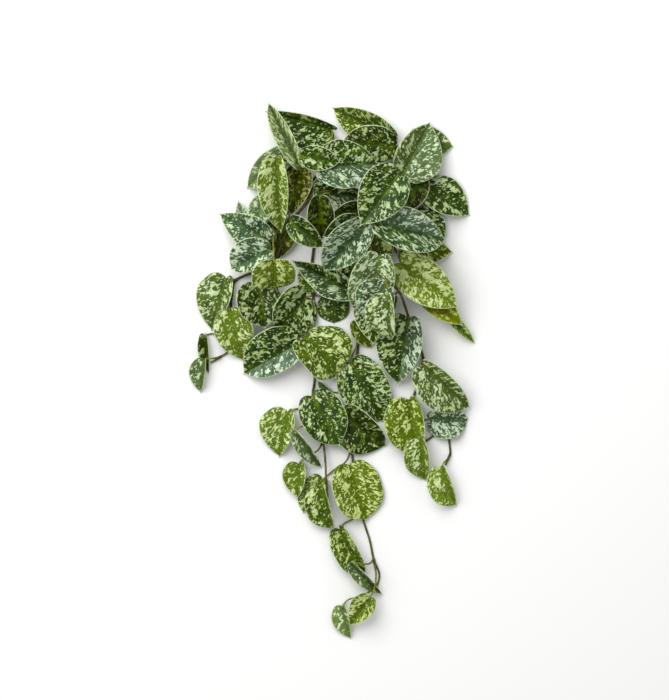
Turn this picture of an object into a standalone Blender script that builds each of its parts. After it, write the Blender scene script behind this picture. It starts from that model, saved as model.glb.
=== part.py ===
"""Satin pothos: a cut bunch of leafy vines, laid on a table, with its leaves facing up.

Metres, +Z up. X and Y are the plan seen from above, with the cut end of the main stem
towards +Y and the vines trailing towards -Y. The origin is under the middle of the plan.
"""

import math
from collections import namedtuple

import bmesh
import bpy
import numpy as np
from mathutils import Matrix

MM = 0.001

# Blades
BLADE_THICK = 0.0008
BLADE_ROWS = 5
BLADE_COLUMNS = 4
HALF_WIDTH_SHARE = 0.37
WIDEST_AT = 0.34
BASE_WIDTH = 0.64
LOBE_SHARE = 0.07
STEEPEST = 75
MARGIN_RECURVE = 0.10
MARGIN_WAVE = 0.06
WAVES_ALONG = 7
WAVES_ACROSS = 2
WIDTH_ROOM = 1.02
ROW_SPREAD = 1.1
BLADE_WELD = 0.0002

# How a blade may tilt to lie low, in degrees, and what each degree away from usual counts
USUAL_PITCH = 10
PITCHES = range(-8, 25, 4)
ROLLS = range(-20, 21, 5)
TILT_COST = 0.00005

# Stems and petioles
MAIN_STEM_RADIUS = 0.0050
MAIN_STEM_FOOT = 0.017
VINE_RADIUS = 0.0022
VINE_TIP_RADIUS = 0.0014
PETIOLE_RADIUS = 0.0015
PETIOLE_TIP_RADIUS = 0.0009
VINE_STEP = 0.019
VINE_SAG = 0.0015
PETIOLE_STEPS = 4
PETIOLE_SEAT = 0.07
PETIOLE_SAG = 0.0040
PETIOLE_SHORTEST = 0.010
VINE_LEAD = 0.35
BLADE_LEAD = 0.25
JOINT_GAP = 0.0004
TUBE_WELD = 0.00002

# Where the vines leave the main stem: what of their first stretch lies clear of the pile
START_NEAR = 0.0062
START_FAR = 0.022
START_STEP = 0.001
START_ROOM = 0.0008
START_STRAIGHT = 0.006
POST_ROOM = 0.003
POST_TOP = 0.006

# The pile: a map of how high the plant stands over each spot of the table
CELL = 0.002
PILE_X = 0.24
PILE_Y = 0.40
LAY_GAP = 0.0010
FILL = 10
DRAPE_PARTS = 8
DRAPE_PASSES = 60

Stem = namedtuple("Stem", "vine route")
Leaf = namedtuple("Leaf", "vine base tip left right pitch curl joins bend blunt",
                  defaults=(None, 20, None, 0, 1.9))

# The main stem's middle line, from its cut end to where it stands up, in millimetres
MAIN_STEM = [(6, 296, 5.2), (3, 284, 5.6), (-1, 272, 8), (-3, 264.5, 16)]
POST = (-3, 264)

# The middle of the plan, which the finished bunch is moved by to stand over the origin
PLAN_MIDDLE = (0.7, 0.0)

# What is laid on the table, from the back of the bunch to the front. A stem gives its route in
# plan from the main stem. A leaf gives its base and tip in plan, and how wide it looks from above
# to the left and right of its midrib. Pitch is how far its tip points down, in degrees: without
# one it takes the slope of what it lies on. Curl is how far it bends from base to tip, and bend is
# how far its midrib bows to the left. A higher blunt gives a fuller tip. Lengths are millimetres.
BUNCH = [
    Stem("back_left_vine", [(-20, 252), (-40, 226), (-58, 204)]),
    Leaf("back_left_vine", (-62, 195), (-72, 142), 21, 25),
    Stem("far_left_vine", [(-16, 250), (-30, 226), (-52, 205), (-59, 178), (-66, 160), (-72, 146),
         (-98, 129), (-124, 118), (-131, 84), (-136, 52), (-134, 27), (-157, 10)]),
    Leaf("far_left_vine", (-137, 119), (-156.5, 51), 13, 33),
    Leaf("far_left_vine", (-164, 45), (-159.5, -6), 3, 12),
    Leaf("far_left_vine", (-165, 13), (-170, -30), 3, 19),
    Leaf("far_left_vine", (-132, 77), (-115, 12), 24, 27),
    Leaf("far_left_vine", (-95, 111), (-86, 54), 28, 31, blunt=3),
    Stem("long_vine", [(14, 240), (20, 190), (30, 130), (36, 84), (35, 40), (33, 12), (26, -40),
         (24, -85), (28, -118), (31, -150), (37, -180), (43, -200), (50, -222), (55, -246),
         (62, -264), (59, -279), (50, -288)]),
    Leaf("long_vine", (32, 64), (52, 28), 13, 14),
    Leaf("long_vine", (-1, -28), (-19, -13), 8, 3, joins=(31, -8)),
    Leaf("long_vine", (26, 9), (68, -68), 32, 33, joins=(34, 30), blunt=3),
    Leaf("long_vine", (18, -54), (72, -99), 20, 34, bend=-4, blunt=3),
    Leaf("long_vine", (-12, -142), (-38, -186), 12, 21, joins=(25, -104), blunt=3),
    Leaf("long_vine", (11, -207), (44, -268), 9, 23, joins=(37, -180), blunt=4),
    Leaf("long_vine", (24, -124), (46, -196), 33, 31, blunt=4),
    Leaf("long_vine", (27, -252), (67, -292), 4, 13, joins=(52, -236)),
    Leaf("long_vine", (14, -307), (25, -350), 5, 18, joins=(50, -288)),
    Leaf("long_vine", (50, -295), (23, -332), 15, 18, joins=(53, -243), blunt=1.5),
    Stem("middle_vine", [(-9, 225), (-18, 192), (-23, 160), (-26, 133), (-24, 100), (-24, 70),
         (-32, 50), (-27, 20), (-22, -8), (-24, -28), (-20, -60), (-11, -92), (-8, -118),
         (-7, -142), (-5, -165)]),
    Leaf("middle_vine", (3, 98), (3, 60), 21, 22, 0, 0, blunt=4),
    Leaf("middle_vine", (-22, 128), (-32, 100), 18, 20),
    Leaf("long_vine", (30, 134), (7, 98), 15, 16),
    Leaf("long_vine", (24, 103), (-53, 144), 23, 16, blunt=1.2),
    Leaf("middle_vine", (-33, 95), (-73, 48), 31, 26, blunt=3),
    Leaf("middle_vine", (-41, 36), (-116, -5), 22, 36, blunt=3),
    Leaf("middle_vine", (-34, 42), (5, -11), 40, 30, bend=8, blunt=4),
    Leaf("middle_vine", (-57, -54), (-68, -114), 12, 34),
    Leaf("middle_vine", (-43, -122), (-44, -167), 10, 21, joins=(-13, -86)),
    Leaf("middle_vine", (-46, -79), (-12, -127), 4, 15, joins=(-20, -60)),
    Leaf("middle_vine", (-25, -34), (11, -99), 30, 29, blunt=3),
    Leaf("middle_vine", (-12, -150), (3, -207), 3, 29, blunt=4),
    Stem("left_vine", [(-20, 240), (-29, 221), (-47, 200), (-66, 186), (-80, 172), (-92, 165)]),
    Leaf("left_vine", (-105, 165), (-122, 222), 12, 12),
    Leaf("left_vine", (-90, 222), (-100, 180), 15, 15),
    Leaf("left_vine", (-80, 167), (-147, 204.5), 25, 20, blunt=1.5),
    Leaf("left_vine", (-80, 156), (-131, 131), 14, 27, blunt=3),
    Leaf("left_vine", (-74, 142), (-76, 105), 29, 28, 45, joins=(-60, 190), blunt=4),
    Stem("top_right_vine", [(22, 281), (50, 288), (78, 290), (104, 280)]),
    Leaf("top_right_vine", (104, 300), (160, 291), 22, 23),
    Leaf("top_right_vine", (76, 302), (-0.5, 343), 27, 18),
    Leaf("top_right_vine", (80, 290), (12, 298), 24, 25, blunt=3),
    Stem("lower_right_vine", [(20, 238), (45, 213), (68, 180), (86, 152), (98, 122), (112, 104)]),
    Leaf("lower_right_vine", (58, 184), (67, 130), 20, 21),
    Leaf("lower_right_vine", (92, 160), (159, 154), 22, 21),
    Leaf("lower_right_vine", (157, 66), (187, 34.5), 8, 7, blunt=1.5),
    Leaf("lower_right_vine", (122, 98), (171, 58), 17, 16),
    Leaf("lower_right_vine", (91, 139), (165, 80), 27, 30, blunt=2.2),
    Stem("right_vine", [(25, 258), (60, 256), (88, 251), (106, 242), (114, 222)]),
    Leaf("right_vine", (112, 205), (148, 170), 20, 22, blunt=3),
    Leaf("right_vine", (124, 237), (181, 201), 29, 20),
    Leaf("right_vine", (118, 248), (88, 205), 18, 20),
    Leaf("right_vine", (93, 256), (128.5, 324), 22, 40),
    Stem("trailing_right_vine", [(12, 232), (32, 203), (55, 163), (74, 122), (90, 97), (100, 69),
         (113, 36), (119, 17), (114, -12), (107, -34), (109, -64), (119, -93), (131, -86),
         (141, -80), (151, -84), (154, -100), (154, -110), (148, -123)]),
    Leaf("trailing_right_vine", (80, 96), (66, 66), 9, 17),
    Leaf("trailing_right_vine", (100, 66), (85, -20), 23, 38),
    Leaf("trailing_right_vine", (128, -63), (179, -63), 14, 26, blunt=4),
    Leaf("trailing_right_vine", (119, 7), (181, -49), 13, 36, blunt=2.4),
    Leaf("trailing_right_vine", (101, -39), (112, -113), 15, 37, blunt=3),
    Leaf("trailing_right_vine", (116, -91), (122, -144), 8, 25, blunt=2.5),
    Leaf("trailing_right_vine", (144, -125), (163, -177), 4, 28, blunt=3),
    Stem("top_left_vine", [(-20, 268), (-38, 266), (-54, 270), (-66, 269)]),
    Leaf("top_left_vine", (-40, 262), (-53, 199), 19, 20),
    Leaf("top_left_vine", (0, 313), (-88, 338), 35, 9),
    Leaf("top_left_vine", (-62, 283), (-111, 237), 22, 17.5),
    Leaf("top_left_vine", (-41, 266), (-83, 350), 15, 9),
    Leaf("top_left_vine", (-71, 271), (-65, 177), 13, 27),
    Stem("front_vine", [(4, 226), (20, 197), (44, 172), (62, 150), (70, 122), (72, 104)]),
    Leaf("front_vine", (-20, 232), (40, 225), 18, 16),
    Leaf("front_vine", (40, 206), (-2, 199), 15, 15),
    Leaf("front_vine", (-15, 222), (-12, 168), 18, 18),
    Leaf("front_vine", (30, 192), (-12, 172), 15, 15),
    Leaf("left_vine", (-51, 191), (-9, 158), 14, 17),
    Leaf("front_vine", (45, 189), (-10, 128), 24, 26),
    Leaf("front_vine", (60, 95), (54, 33), 20, 30),
    Leaf("front_vine", (62, 147), (43, 67), 27, 31, blunt=3),
    Leaf("front_vine", (69, 110), (41, 67), 24, 29),
    Leaf("front_vine", (73, 96), (75, 41), 7, 31, blunt=4),
    Stem("front_right_vine", [(12, 246), (32, 232), (52, 224)]),
    Stem("crown_vine", [(-16, 256), (-24, 266), (-31, 280)]),
    Leaf("crown_vine", (-16, 261), (63, 267), 35, 30),
    Leaf("crown_vine", (-38, 276), (12, 268), 16, 17),
    Leaf("front_right_vine", (57, 191), (149, 169), 29, 27),
    Leaf("front_right_vine", (85, 251), (36, 185), 30, 34),
]

LEAF_GREEN = (0.07, 0.14, 0.04, 1.0)
STEM_BROWN = (0.09, 0.07, 0.02, 1.0)


def clear_scene():
    for obj in list(bpy.data.objects):
        bpy.data.objects.remove(obj)


def plain_material(name, colour, roughness):
    material = bpy.data.materials.new(name)
    material.use_nodes = True
    shader = material.node_tree.nodes["Principled BSDF"]
    shader.inputs["Base Color"].default_value = colour
    shader.inputs["Roughness"].default_value = roughness
    return material


def share_of_width(u, blunt):
    """The blade's half width at each u, as a share of the widest."""
    near = np.clip(u / WIDEST_AT, 0, 1)
    past = np.clip((u - WIDEST_AT) / (1 - WIDEST_AT), 0, 1)
    swell = BASE_WIDTH + (1 - BASE_WIDTH) * np.sin(math.pi / 2 * near) ** 0.8
    return swell * (1 - past ** blunt) ** 0.9


class Blade:
    """The middle surface of one leaf. u runs from base to tip and v from left to right."""

    def __init__(self, leaf, phase, pitch=0.0, roll=0.0):
        self.base = np.array([*leaf.base, 0]) * MM
        run = np.array([*leaf.tip, 0]) * MM - self.base
        self.heading = run / np.linalg.norm(run)
        self.side = np.array([self.heading[1], -self.heading[0], 0])
        self.curl = math.radians(max(leaf.curl, 0.01))
        self.steep = math.radians(pitch)
        self.length = 1.0
        self.length = np.linalg.norm(run) / float(self.midrib(1.0)[0])
        widest = WIDTH_ROOM * MM * max(leaf.left, leaf.right)
        self.half = max(HALF_WIDTH_SHARE * self.length, widest)
        own = [math.degrees(math.acos(w * MM / self.half)) for w in (leaf.left, leaf.right)]
        tilted = np.clip([own[0] - roll, own[1] + roll], -STEEPEST, STEEPEST)
        self.slopes = np.radians(tilted) if leaf.curl else np.zeros(2)
        self.widths = np.array([leaf.left, leaf.right]) * MM / np.cos(self.slopes)
        self.bend = leaf.bend * MM
        self.blunt = leaf.blunt
        self.flat = leaf.curl == 0
        self.phase = phase
        self.height = 0.0

    def midrib(self, u):
        """How far the midrib has run forward and up at u, and its angle there."""
        first = self.curl / 2 - self.steep
        angle = first - self.curl * u
        forward = (math.sin(first) - np.sin(angle)) / self.curl
        up = (np.cos(angle) - math.cos(first)) / self.curl
        return forward * self.length, up * self.length, angle

    def surface(self, u, v):
        """The points at u and v, two arrays of one shape, with their three numbers last."""
        forward, up, angle = (part[..., None] for part in self.midrib(u))
        tangent = self.heading * np.cos(angle) + [0, 0, 1] * np.sin(angle)
        normal = [0, 0, 1] * np.cos(angle) - self.heading * np.sin(angle)
        share = share_of_width(u, self.blunt) * np.where(v < 0, *self.widths)
        slope = np.where(v < 0, *self.slopes)
        across = np.abs(v) * share
        lift = across * np.sin(slope)
        if not self.flat:
            lift = lift - MARGIN_RECURVE * share * np.abs(v) ** 3
            wave = np.sin(WAVES_ALONG * u + self.phase + WAVES_ACROSS * v)
            lift = lift + MARGIN_WAVE * share * v * v * wave
        lobe = LOBE_SHARE * self.length * (1 - u) ** 3
        lobe = lobe * np.sin(0.8 * math.pi * np.abs(v) ** 0.75)
        bowed = self.bend * 4 * u * (1 - u)
        outward = (np.sign(v) * across * np.cos(slope) - bowed)[..., None] * self.side
        spot = self.base + self.heading * forward + [0, 0, 1] * (up + self.height)
        return spot + outward + normal * lift[..., None] - tangent * lobe[..., None]

    def rows(self):
        """The corners of the coarse blade, as an array of rows by columns by 3."""
        u = np.linspace(0, 1, BLADE_ROWS + 1) ** ROW_SPREAD
        v = np.linspace(-1, 1, BLADE_COLUMNS + 1)
        return self.surface(*np.meshgrid(u, v, indexing="ij"))


class Pile:
    """How high the plant stands over each cell of the table, in metres."""

    def __init__(self):
        self.top = np.zeros((int(2 * PILE_X / CELL), int(2 * PILE_Y / CELL)))
        self.post = MAIN_STEM_FOOT

    def cells(self, points):
        x = np.clip(((points[..., 0] + PILE_X) / CELL).astype(int), 0, self.top.shape[0] - 1)
        y = np.clip(((points[..., 1] + PILE_Y) / CELL).astype(int), 0, self.top.shape[1] - 1)
        return x, y

    def under(self, points):
        """The height to clear at each point: the pile and a gap, or the bare table."""
        found = self.top[self.cells(points)]
        return np.where(found > 0, found + LAY_GAP, 0.0)

    def under_blade(self, points):
        """The same for a blade, which also clears the top of the main stem."""
        away = np.hypot(points[..., 0] - POST[0] * MM, points[..., 1] - POST[1] * MM)
        over_post = np.where(away < MAIN_STEM_RADIUS + POST_ROOM, self.post + POST_TOP, 0.0)
        return np.maximum(self.under(points), over_post)

    def add(self, points):
        np.maximum.at(self.top, self.cells(points), points[..., 2])


def filled(rows, parts=FILL):
    """Points spread evenly over a coarse blade."""
    t = np.linspace(0, 1, parts)[:, None, None, None, None]
    s = np.linspace(0, 1, parts)[None, :, None, None, None]
    near = rows[:-1, :-1] * (1 - t) + rows[:-1, 1:] * t
    far = rows[1:, :-1] * (1 - t) + rows[1:, 1:] * t
    return (near * (1 - s) + far * s).reshape(-1, 3)


def around(points, radii):
    """Each point of a line, and eight points at its radius round it in plan."""
    rings = [points]
    for turn in range(8):
        angle = math.tau * turn / 8
        offset = np.array([math.cos(angle), math.sin(angle), 0.0])
        rings.append(points + radii[:, None] * offset)
    return np.array(rings)


def smooth_line(route, step):
    """Points about a step apart on a curve through the route's points."""
    ends = [route[0] * 2 - route[1], *route, route[-1] * 2 - route[-2]]
    found = []
    for a, b, c, d in zip(ends, ends[1:], ends[2:], ends[3:]):
        parts = max(1, round(np.linalg.norm(c - b) / step))
        for i in range(parts):
            t = i / parts
            found.append(0.5 * (2 * b + (c - a) * t + (2 * a - 5 * b + 4 * c - d) * t * t
                                + (3 * b - a - 3 * c + d) * t ** 3))
    return np.array([*found, route[-1]])


def between(line, radii, parts=DRAPE_PARTS):
    """A line's points with more between them, and their radii."""
    place = np.linspace(0, len(line) - 1, (len(line) - 1) * parts + 1)
    whole = np.arange(len(line))
    close = np.stack([np.interp(place, whole, line[:, k]) for k in range(3)], axis=1)
    return close, np.interp(place, whole, radii)


def drape(line, radii, pile, fixed, sag):
    """Lifts a line clear of the pile, except for its first points, as many as fixed says."""
    parts = DRAPE_PARTS
    close, wide = between(line, radii)
    need = pile.under(around(close, wide)).max(axis=0) + wide
    padded = np.pad(need, parts, mode="edge")
    need = np.array([padded[i * parts:(i + 2) * parts + 1].max() for i in range(len(line))])
    kept = line[:, 2].copy()
    heights = np.maximum(kept, need)
    for _ in range(DRAPE_PASSES):
        heights[:fixed] = kept[:fixed]
        middle = (heights[:-2] + heights[2:]) / 2
        heights[1:-1] = np.maximum(np.maximum(need[1:-1], kept[1:-1]), middle - sag)
    heights[:fixed] = kept[:fixed]
    line[:, 2] = heights
    return line


def tube(name, line, radii, sides_step, material):
    """A closed tube along a line, as a mesh."""
    curve = bpy.data.curves.new(name, "CURVE")
    curve.dimensions = "3D"
    curve.bevel_depth = 1.0
    curve.bevel_resolution = sides_step
    curve.use_fill_caps = True
    spline = curve.splines.new("POLY")
    spline.points.add(len(line) - 1)
    for point, place, radius in zip(spline.points, line, radii):
        point.co = (*place, 1)
        point.radius = radius
    guide = bpy.data.objects.new(name, curve)
    bpy.context.scene.collection.objects.link(guide)
    graph = bpy.context.evaluated_depsgraph_get()
    mesh = bpy.data.meshes.new_from_object(guide.evaluated_get(graph))
    bpy.data.objects.remove(guide)
    work = bmesh.new()
    work.from_mesh(mesh)
    bmesh.ops.remove_doubles(work, verts=work.verts, dist=TUBE_WELD)
    bmesh.ops.recalc_face_normals(work, faces=work.faces)
    work.to_mesh(mesh)
    work.free()
    mesh.materials.clear()
    mesh.materials.append(material)
    return bpy.data.objects.new(name, mesh)


def blade_solid(name, rows, material):
    """A leaf blade: a grid bent to the blade's corners, in triangles, and thickened."""
    work = bmesh.new()
    bmesh.ops.create_grid(work, x_segments=BLADE_COLUMNS, y_segments=BLADE_ROWS, size=1)
    for vert in work.verts:
        row = round((vert.co.y + 1) / 2 * BLADE_ROWS)
        column = round((vert.co.x + 1) / 2 * BLADE_COLUMNS)
        vert.co = rows[row, column]
    bmesh.ops.remove_doubles(work, verts=work.verts, dist=BLADE_WELD)
    bmesh.ops.triangulate(work, faces=work.faces)
    mesh = bpy.data.meshes.new(name)
    work.to_mesh(mesh)
    work.free()
    mesh.materials.append(material)
    blade = bpy.data.objects.new(name, mesh)
    bpy.context.scene.collection.objects.link(blade)
    wall = blade.modifiers.new("Thickness", "SOLIDIFY")
    wall.thickness = BLADE_THICK
    wall.offset = 0
    graph = bpy.context.evaluated_depsgraph_get()
    blade.data = bpy.data.meshes.new_from_object(blade.evaluated_get(graph))
    blade.modifiers.clear()
    bpy.context.scene.collection.objects.unlink(blade)
    return blade


def start_of(stem, radius, pile):
    """Where a vine leaves the main stem, as low as the pile lets it, and a point further out."""
    post = np.array([*POST, 0]) * MM
    toward = np.array([*stem.route[0], 0]) * MM - post
    out = toward / np.linalg.norm(toward)
    path = np.array([post + out * away for away in np.arange(START_NEAR, START_FAR, START_STEP)])
    under = pile.under(around(path, np.full(len(path), radius + START_ROOM))).max()
    height = max(MAIN_STEM_FOOT, under + radius)
    pile.post = max(pile.post, height)
    first = post + out * (MAIN_STEM_RADIUS + JOINT_GAP) + [0, 0, height]
    return first, first + out * START_STRAIGHT


def lay_stem(stem, pile):
    """Lays a vine's stem from the main stem along its route."""
    first, second = start_of(stem, VINE_RADIUS, pile)
    route = [np.array([x * MM, y * MM, 0]) for x, y in stem.route]
    line = smooth_line([first, second, *route], VINE_STEP)
    line[2:, 2] = 0
    line[:2] = first, second
    radii = np.linspace(VINE_RADIUS, VINE_TIP_RADIUS, len(line))
    line = drape(line, radii, pile, 2, VINE_SAG)
    close, wide = between(line, radii)
    pile.add(around(close, wide) + [0, 0, VINE_RADIUS])
    return line, radii


def settled(leaf, phase, pile):
    """The blade, tilted so that it lies as low on the pile as it can."""
    tried = []
    for pitch in PITCHES if leaf.pitch is None else [leaf.pitch]:
        for roll in ROLLS if leaf.curl else [0]:
            blade = Blade(leaf, phase, pitch, roll)
            points = filled(blade.rows())
            lift = float((pile.under_blade(points) - points[:, 2]).max())
            blade.height = lift + BLADE_THICK / 2
            unlike = abs(pitch - USUAL_PITCH) if leaf.pitch is None else 0
            cost = points[:, 2].mean() + lift + TILT_COST * (unlike + abs(roll))
            tried.append((cost, len(tried), blade))
    return min(tried)[2]


def petiole_line(leaf, blade, vine):
    """From the middle of the vine to just inside the blade."""
    near = (blade.base - blade.heading * PETIOLE_SHORTEST)[:2]
    if leaf.joins:
        near = np.array(leaf.joins) * MM
    i = int(np.clip(np.argmin(((vine[:, :2] - near) ** 2).sum(axis=1)), 1, len(vine) - 2))
    root, onward = vine[i], vine[i + 1] - vine[i - 1]
    onward = onward / np.linalg.norm(onward)
    seat, collar = blade.surface(np.array([PETIOLE_SEAT, 0.0]), np.zeros(2))
    reach = np.linalg.norm(collar - root)
    bend_a = root + onward * reach * VINE_LEAD
    bend_b = collar - blade.heading * reach * BLADE_LEAD
    line = []
    for k in range(PETIOLE_STEPS):
        t = k / (PETIOLE_STEPS - 1)
        line.append(root * (1 - t) ** 3 + bend_a * 3 * t * (1 - t) ** 2
                    + bend_b * 3 * t * t * (1 - t) + collar * t ** 3)
    return np.array([*line, seat])


def lay_leaf(leaf, phase, vine, pile):
    """Lowers a blade onto the pile, then runs its petiole to the vine."""
    blade = settled(leaf, phase, pile)
    points = filled(blade.rows())
    radii = np.linspace(PETIOLE_RADIUS, PETIOLE_TIP_RADIUS, PETIOLE_STEPS + 1)
    line = petiole_line(leaf, blade, vine)
    line[-2:, 2] = np.maximum(line[-2:, 2], radii[-2:])
    ends = line[-2:, 2].copy()
    line = drape(line, radii, pile, 1, PETIOLE_SAG)
    line[-2:, 2] = ends
    pile.add(points + [0, 0, BLADE_THICK / 2])
    close, wide = between(line, radii)
    pile.add(around(close, wide) + [0, 0, PETIOLE_RADIUS])
    return blade, line, radii


def fused(name, stem, repeats, collection):
    """One solid of a vine's stem and all that grows from it."""
    collection.objects.link(stem)
    stem.name = name
    growth = bpy.data.collections.new(name + "_growth")
    bpy.context.scene.collection.children.link(growth)
    for obj in repeats:
        growth.objects.link(obj)
    union = stem.modifiers.new("Grown together", "BOOLEAN")
    union.operation = "UNION"
    union.operand_type = "COLLECTION"
    union.collection = growth
    union.solver = "MANIFOLD"
    graph = bpy.context.evaluated_depsgraph_get()
    stem.data = bpy.data.meshes.new_from_object(stem.evaluated_get(graph))
    stem.modifiers.clear()
    stem.data.name = name
    for obj in repeats:
        bpy.data.objects.remove(obj)
    bpy.data.collections.remove(growth)
    return stem


def main_stem(top, material, collection):
    """The woody stem: its cut end lies on the table and the vines leave it where it stands."""
    route = [*MAIN_STEM, (*POST, top / MM + 4)]
    line = smooth_line([np.array(p) * MM for p in route], 0.008)
    stem = tube("main_stem", line, np.full(len(line), MAIN_STEM_RADIUS), 3, material)
    collection.objects.link(stem)
    stem.data.shade_smooth()


def grow():
    """Lays the bunch in order: each vine's stem, its leaves, and the main stem's height."""
    pile = Pile()
    lying = smooth_line([np.array(p) * MM for p in MAIN_STEM], 0.002)
    pile.add(around(lying, np.full(len(lying), MAIN_STEM_RADIUS)) + [0, 0, MAIN_STEM_RADIUS])
    vines, leaves = {}, {}
    for number, item in enumerate(BUNCH):
        if isinstance(item, Stem):
            vines[item.vine] = lay_stem(item, pile)
            leaves[item.vine] = []
        else:
            laid = lay_leaf(item, 2.4 * number, vines[item.vine][0], pile)
            leaves[item.vine].append(laid)
    return vines, leaves, pile.post


def main():
    clear_scene()
    plant = bpy.data.collections.new("satin_pothos")
    bpy.context.scene.collection.children.link(plant)
    green = plain_material("leaf", LEAF_GREEN, 0.45)
    brown = plain_material("stem", STEM_BROWN, 0.6)
    vines, leaves, top = grow()
    main_stem(top, brown, plant)
    for name, (line, radii) in vines.items():
        repeats = []
        for k, (blade, *petiole) in enumerate(leaves[name]):
            repeats.append(blade_solid(f"{name}_blade_{k}", blade.rows(), green))
            repeats.append(tube(f"{name}_petiole_{k}", *petiole, 0, brown))
        fused(name, tube(name, line, radii, 1, brown), repeats, plant)
    to_origin = Matrix.Translation((-PLAN_MIDDLE[0] * MM, -PLAN_MIDDLE[1] * MM, 0))
    for obj in plant.objects:
        obj.data.transform(to_origin)


main()
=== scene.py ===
import math
from collections import namedtuple

import bmesh
import bpy
import numpy as np
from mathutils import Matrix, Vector


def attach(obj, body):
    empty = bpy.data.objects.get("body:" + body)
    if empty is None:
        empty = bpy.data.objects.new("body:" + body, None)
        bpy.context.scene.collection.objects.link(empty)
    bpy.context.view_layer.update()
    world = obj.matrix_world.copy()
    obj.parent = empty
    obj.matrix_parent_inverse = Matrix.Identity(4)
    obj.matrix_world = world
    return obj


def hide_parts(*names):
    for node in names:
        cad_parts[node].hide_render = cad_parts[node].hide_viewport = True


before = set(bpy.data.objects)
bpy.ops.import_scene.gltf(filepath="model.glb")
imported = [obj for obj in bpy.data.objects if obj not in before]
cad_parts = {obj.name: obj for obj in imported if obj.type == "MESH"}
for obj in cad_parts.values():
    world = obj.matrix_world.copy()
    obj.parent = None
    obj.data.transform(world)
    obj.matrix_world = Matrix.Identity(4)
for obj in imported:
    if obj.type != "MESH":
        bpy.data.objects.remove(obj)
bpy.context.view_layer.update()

mm = 0.001
upward = np.array([0, 0, 1])

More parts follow.
